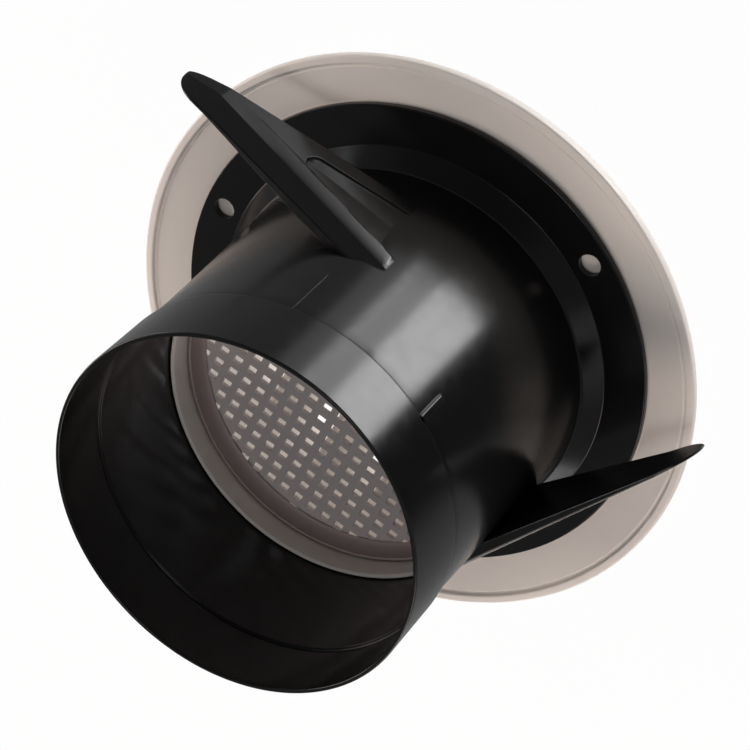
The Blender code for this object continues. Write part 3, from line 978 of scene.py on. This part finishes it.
@dataclass(frozen=True)
class SoftBox:
    """A lamp: its direction from the vent in degrees, its size, brightness, colour and distance."""

    name: str
    azimuth: float
    rise: float
    width: float
    height: float
    level: float
    tint: tuple[float, float, float] = (1.0, 1.0, 1.0)
    distance: float = 0.62


@dataclass(frozen=True)
class DarkPart:
    """A dark part of the room: its direction, the cosines of its edge and the share of light left."""

    direction: tuple[float, float, float]
    edge: tuple[float, float]
    share: float


WARM = (1.0, 0.85, 0.76)
LAMPS = (
    SoftBox("side_box", -20.0, -46.5, 0.26, 0.22, 13.0),
    SoftBox("side_glow", 8.5, -46.5, 0.14, 0.22, 5.2),
    SoftBox("side_fill", 23.0, -48.0, 0.17, 0.30, 1.1),
    SoftBox("upper_left", 113.0, 18.5, 0.30, 0.14, 14.5, WARM),
    SoftBox("upper_back", -138.0, 37.0, 0.40, 0.22, 5.2, WARM),
    SoftBox("low_right", -90.0, 26.0, 0.50, 0.20, 0.7, (0.99, 1.0, 1.02), 0.60),
    SoftBox("low_left", 88.0, 19.0, 0.20, 0.14, 2.2, (0.97, 1.0, 1.03)),
    SoftBox("top_box", 180.0, 88.0, 0.20, 0.20, 13.0, (1.0, 0.97, 0.95), 1.20),
    SoftBox("back_box_1", 165.0, -14.0, 0.20, 0.40, 5.0),
    SoftBox("back_box_2", -138.0, -14.0, 0.14, 0.40, 2.6),
    SoftBox("back_box_3", 92.0, -20.0, 0.14, 0.30, 2.6),
)
DARK_PARTS = (
    DarkPart((0.417, -0.498, -0.760), (0.80, 0.95), 0.08),
    DarkPart((0.720, 0.262, 0.643), (0.78, 0.92), 0.42),
)


@dataclass
class Studio:
    """Pale floor, soft lamps, white backdrop and the camera at the photograph's angle."""

    floor_level: float
    eye: tuple[float, float, float] = (403.39 * MM, -86.95 * MM, 500.54 * MM)
    sight: tuple[float, float, float] = (-0.6354874, 0.13667866, -0.75991757)
    right: tuple[float, float, float] = (0.37574137, -0.80506124, -0.45901505)
    lens: float = 118.14
    sensor: float = 36.0
    aim: tuple[float, float, float] = (45.0 * MM, -10.0 * MM, 60.0 * MM)
    room_low: float = 0.30
    room_high: float = 0.24
    floor_half: float = 3.0
    floor_white: float = 0.97
    card_radius: float = 60.0 * MM
    card_lift: float = 0.1 * MM
    card_level: float = 1.1

    def camera(self) -> None:
        """Set the camera from its eye point, its sight line and its right-hand direction."""
        sight, right = Vector(self.sight), Vector(self.right)
        up = right.cross(sight)
        data = bpy.data.cameras.new("camera")
        data.lens, data.sensor_width = self.lens, self.sensor
        data.clip_start, data.clip_end = 0.01, 50.0
        made = bpy.data.objects.new("camera", data)
        turn = Matrix((right, up, -sight)).transposed().to_4x4()
        made.matrix_world = Matrix.Translation(self.eye) @ turn
        bpy.context.scene.collection.objects.link(made)
        bpy.context.scene.camera = made

    def lamp(self, box: SoftBox) -> None:
        """Set up a rectangular lamp that looks at the vent.

        It stands at (cos a cos e, sin a cos e, sin e) times its distance from the point looked
        at, and its power is its brightness times pi times its area.

        Args:
            box: The lamp.
        """
        data = bpy.data.lights.new(box.name, "AREA")
        data.shape = "RECTANGLE"
        data.size, data.size_y = box.width, box.height
        data.energy = box.level * math.pi * box.width * box.height
        data.color = box.tint
        made = bpy.data.objects.new(box.name, data)
        a, e = math.radians(box.azimuth), math.radians(box.rise)
        away = Vector((math.cos(a) * math.cos(e), math.sin(a) * math.cos(e), math.sin(e)))
        made.location = Vector(self.aim) + box.distance * away
        made.rotation_euler = (-away).to_track_quat("-Z", "Y").to_euler()
        made.visible_camera = False
        bpy.context.scene.collection.objects.link(made)

    def floor(self) -> None:
        """A wide pale floor, white to the camera with a share of real shading that keeps a shadow."""
        mesh = bpy.data.meshes.new("floor")
        corner = self.floor_half * np.array([[-1.0, -1.0], [1.0, -1.0], [1.0, 1.0], [-1.0, 1.0]])
        points = np.column_stack([corner, np.full(4, self.floor_level)])
        mesh.from_pydata(points.tolist(), [], [[0, 1, 2, 3]])
        made = bpy.data.objects.new("floor", mesh)
        bpy.context.scene.collection.objects.link(made)
        made.visible_shadow = False
        made.visible_glossy = False
        paint = bpy.data.materials.new("floor_paint")
        paint.use_nodes = True
        nodes, links = paint.node_tree.nodes, paint.node_tree.links
        shader = nodes["Principled BSDF"]
        shader.inputs["Base Color"].default_value = (0.8, 0.8, 0.8, 1.0)
        shader.inputs["Roughness"].default_value = 0.9
        shader.inputs["Specular IOR Level"].default_value = 0.0
        glow = nodes.new("ShaderNodeEmission")
        glow.inputs["Strength"].default_value = 1.0
        mix = nodes.new("ShaderNodeMixShader")
        rays = nodes.new("ShaderNodeLightPath")
        share = nodes.new("ShaderNodeMath")
        share.operation = "MULTIPLY"
        share.inputs[1].default_value = self.floor_white
        links.new(rays.outputs["Is Camera Ray"], share.inputs[0])
        links.new(share.outputs["Value"], mix.inputs["Fac"])
        links.new(shader.outputs["BSDF"], mix.inputs[1])
        links.new(glow.outputs["Emission"], mix.inputs[2])
        links.new(mix.outputs["Shader"], nodes["Material Output"].inputs["Surface"])
        mesh.materials.append(paint)

    def card(self) -> None:
        """A white card on the floor under the bore, which shows between the louvres and lights them."""
        turn = np.linspace(0.0, 2 * math.pi, 64, endpoint=False)
        points = np.column_stack([
            self.card_radius * np.cos(turn), self.card_radius * np.sin(turn),
            np.full(len(turn), self.floor_level + self.card_lift)])
        mesh = bpy.data.meshes.new("card")
        mesh.from_pydata(points.tolist(), [], [list(range(len(turn)))])
        made = bpy.data.objects.new("card", mesh)
        bpy.context.scene.collection.objects.link(made)
        paint = bpy.data.materials.new("card_white")
        paint.use_nodes = True
        nodes, links = paint.node_tree.nodes, paint.node_tree.links
        glow = nodes["Principled BSDF"]
        glow.inputs["Base Color"].default_value = (0.0, 0.0, 0.0, 1.0)
        glow.inputs["Emission Color"].default_value = (1.0, 1.0, 1.0, 1.0)
        level = nodes.new("ShaderNodeMapRange")
        level.inputs["To Min"].default_value = self.card_level
        level.inputs["To Max"].default_value = 1.0
        links.new(nodes.new("ShaderNodeLightPath").outputs["Is Camera Ray"], level.inputs["Value"])
        links.new(level.outputs["Result"], glow.inputs["Emission Strength"])
        mesh.materials.append(paint)

    def world(self) -> None:
        """Dim room light, a little dimmer above, with dark parts, and white to the camera."""
        made = bpy.data.worlds.new("room")
        made.use_nodes = True
        nodes, links = made.node_tree.nodes, made.node_tree.links
        room = nodes["Background"]
        room.inputs["Color"].default_value = (0.98, 0.99, 1.0, 1.0)
        way = nodes.new("ShaderNodeSeparateXYZ")
        place = nodes.new("ShaderNodeTexCoord")
        links.new(place.outputs["Generated"], way.inputs["Vector"])
        fall = nodes.new("ShaderNodeMapRange")
        fall.interpolation_type = "SMOOTHSTEP"
        fall.inputs["From Min"].default_value = -0.5
        fall.inputs["From Max"].default_value = 0.3
        fall.inputs["To Min"].default_value = self.room_low
        fall.inputs["To Max"].default_value = self.room_high
        links.new(way.outputs["Z"], fall.inputs["Value"])
        level = fall.outputs["Result"]
        for part in DARK_PARTS:
            facing = nodes.new("ShaderNodeVectorMath")
            facing.operation = "DOT_PRODUCT"
            facing.inputs[1].default_value = part.direction
            links.new(place.outputs["Generated"], facing.inputs[0])
            shade = nodes.new("ShaderNodeMapRange")
            shade.interpolation_type = "SMOOTHSTEP"
            shade.inputs["From Min"].default_value, shade.inputs["From Max"].default_value = part.edge
            shade.inputs["To Min"].default_value, shade.inputs["To Max"].default_value = 1.0, part.share
            links.new(facing.outputs["Value"], shade.inputs["Value"])
            product = nodes.new("ShaderNodeMath")
            product.operation = "MULTIPLY"
            links.new(level, product.inputs[0])
            links.new(shade.outputs["Result"], product.inputs[1])
            level = product.outputs["Value"]
        links.new(level, room.inputs["Strength"])
        white = nodes.new("ShaderNodeBackground")
        white.inputs["Color"].default_value = (1.0, 1.0, 1.0, 1.0)
        mix = nodes.new("ShaderNodeMixShader")
        rays = nodes.new("ShaderNodeLightPath")
        links.new(rays.outputs["Is Camera Ray"], mix.inputs["Fac"])
        links.new(room.outputs["Background"], mix.inputs[1])
        links.new(white.outputs["Background"], mix.inputs[2])
        links.new(mix.outputs["Shader"], nodes["World Output"].inputs["Surface"])
        bpy.context.scene.world = made

    def build(self) -> None:
        """Set the camera, the floor, the card, the room and the lamps."""
        self.camera()
        self.floor()
        self.card()
        self.world()
        for box in LAMPS:
            self.lamp(box)
        bpy.context.scene.view_settings.view_transform = "Standard"


BLACK = MouldedPlastic(
    "black_gloss_plastic", Slot.BLACK, (0.005, 0.005, 0.0052), (0.0066, 0.0066, 0.0068), 0.17, 0.22,
    grain_height=0.0012 * MM, wave_height=0.04 * MM, specular=0.25)
WHITE = MouldedPlastic(
    "warm_white_plastic", Slot.WHITE, (0.88, 0.82, 0.775), (0.85, 0.79, 0.74), 0.38, 0.50,
    grain_height=0.004 * MM, wave_height=0.02 * MM)
SCREEN = MouldedPlastic(
    "screen_plastic", Slot.SCREEN, (0.60, 0.43, 0.41), (0.55, 0.395, 0.375), 0.45, 0.6,
    grain_height=0.004 * MM, wave_height=0.01 * MM)
# Screen plastic darkened as painted shade for the retaining ring, which sits deep in the tube's shadow.
RING_PAINTED_SHADE = MouldedPlastic(
    "ring_plastic_painted_shade", Slot.SCREEN, (0.42, 0.34, 0.33), (0.385, 0.312, 0.303), 0.45, 0.6,
    grain_height=0.004 * MM, wave_height=0.01 * MM)


def main() -> None:
    """Build and dress the vent's pieces in order, then the studio."""
    logging.basicConfig(level=logging.INFO, format="%(message)s")
    throat = Throat(BLACK)
    throat.build()
    Wing(BLACK, throat).build()
    face = FacePlate(WHITE, throat)
    face.build()
    Screen(SCREEN, RING_PAINTED_SHADE, face).build()
    Louvres(WHITE).build()
    Studio(CAD_LOW.z - 0.2 * MM).build()


if __name__ == "__main__":
    main()
